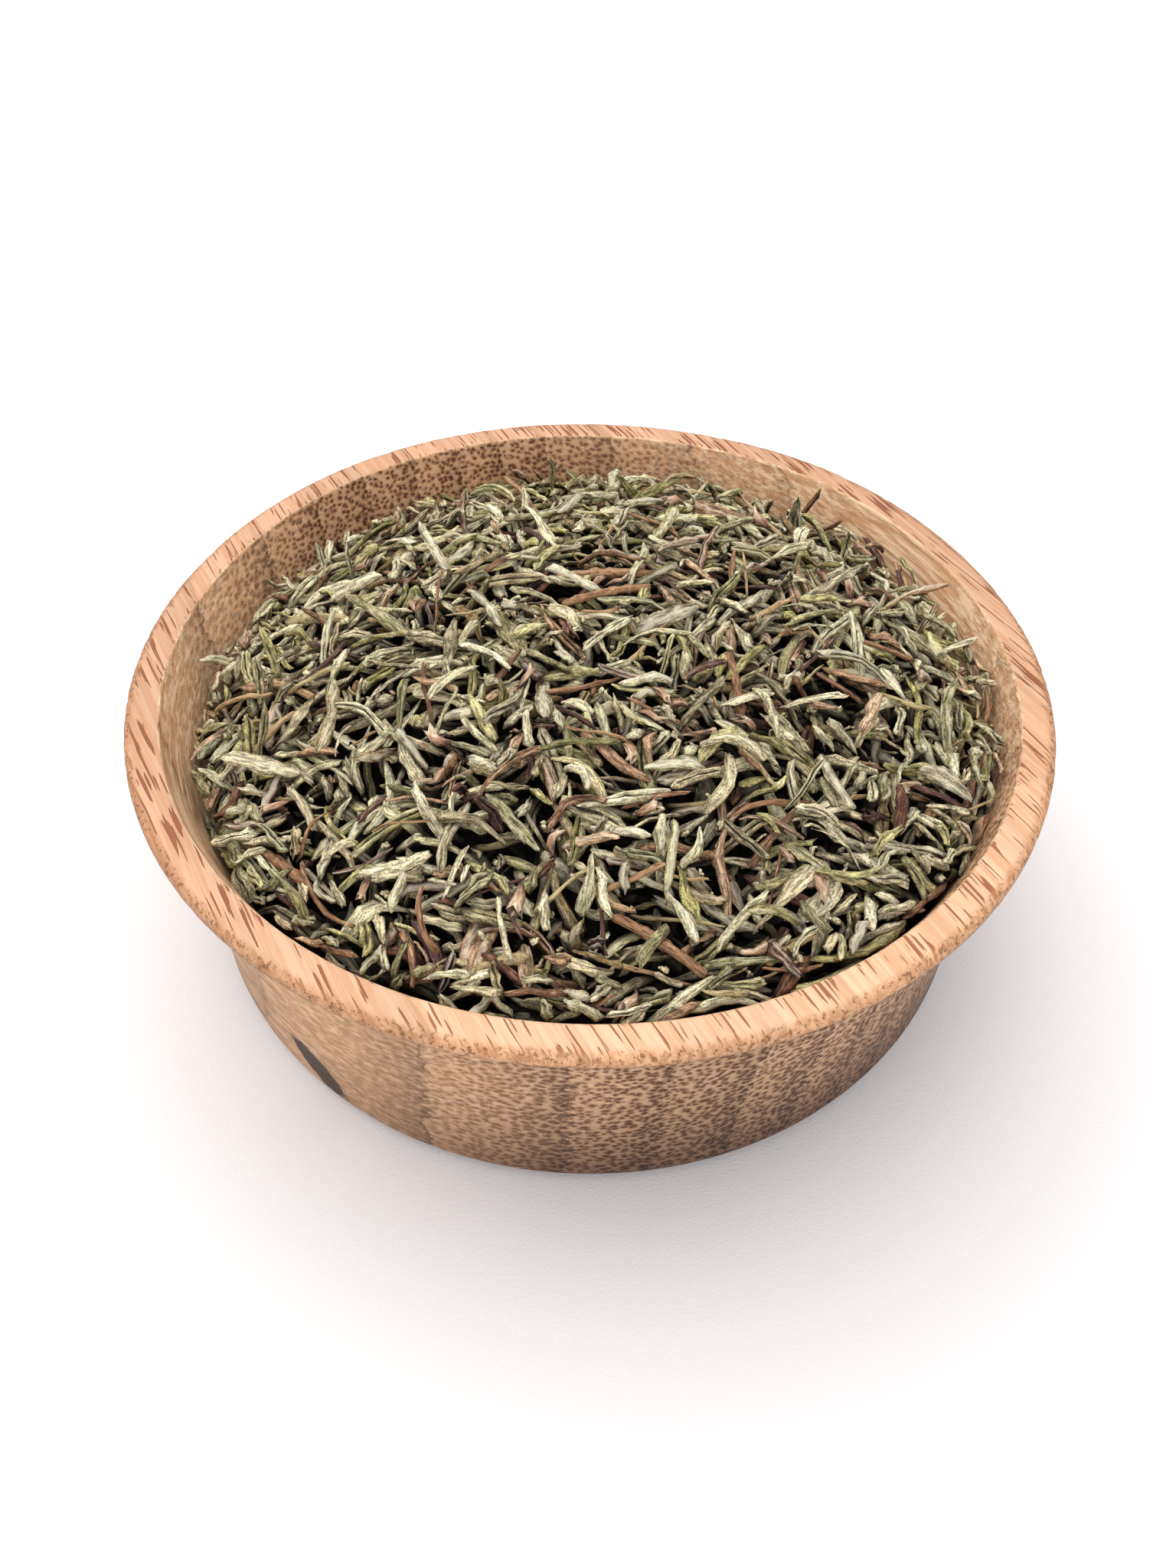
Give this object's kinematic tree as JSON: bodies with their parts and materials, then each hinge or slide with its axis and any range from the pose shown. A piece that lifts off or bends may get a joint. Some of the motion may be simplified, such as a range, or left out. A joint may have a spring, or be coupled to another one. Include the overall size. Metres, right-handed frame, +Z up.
{
  "type": "bowl of dried thyme",
  "caption": "Small turned bamboo bowl with an overhanging lip, heaped with dried rolled thyme leaves and loose stem pieces.",
  "frame": {"origin": "centre of the bowl's flat base, at the surface it stands on", "axes": "+Z up along the bowl's turning axis; -Y towards the viewer's side; the mound sits deepest against the wall towards -X +Y"},
  "size_m": [0.09, 0.09, 0.0342],
  "materials": {
    "bamboo": "turned and oiled laminated bamboo, satin",
    "thyme_leaf": "dried grey-green leaf, matte with a fine felt",
    "thyme_stem": "dry woody stem, matte red-brown"
  },
  "bodies": {
    "root": {"bowl": "bamboo", "thyme_mound": "thyme_leaf", "stem_crown_long": "thyme_stem", "stem_crown_short": "thyme_stem", "stem_upright": "thyme_stem", "stem_straw": "thyme_stem", "stem_front": "thyme_stem", "stem_right": "thyme_stem", "stem_left_front": "thyme_stem", "stem_dark": "thyme_stem", "stem_stub": "thyme_stem", "stem_left": "thyme_stem", "stem_right_front": "thyme_stem"}
  },
  "joints": []
}
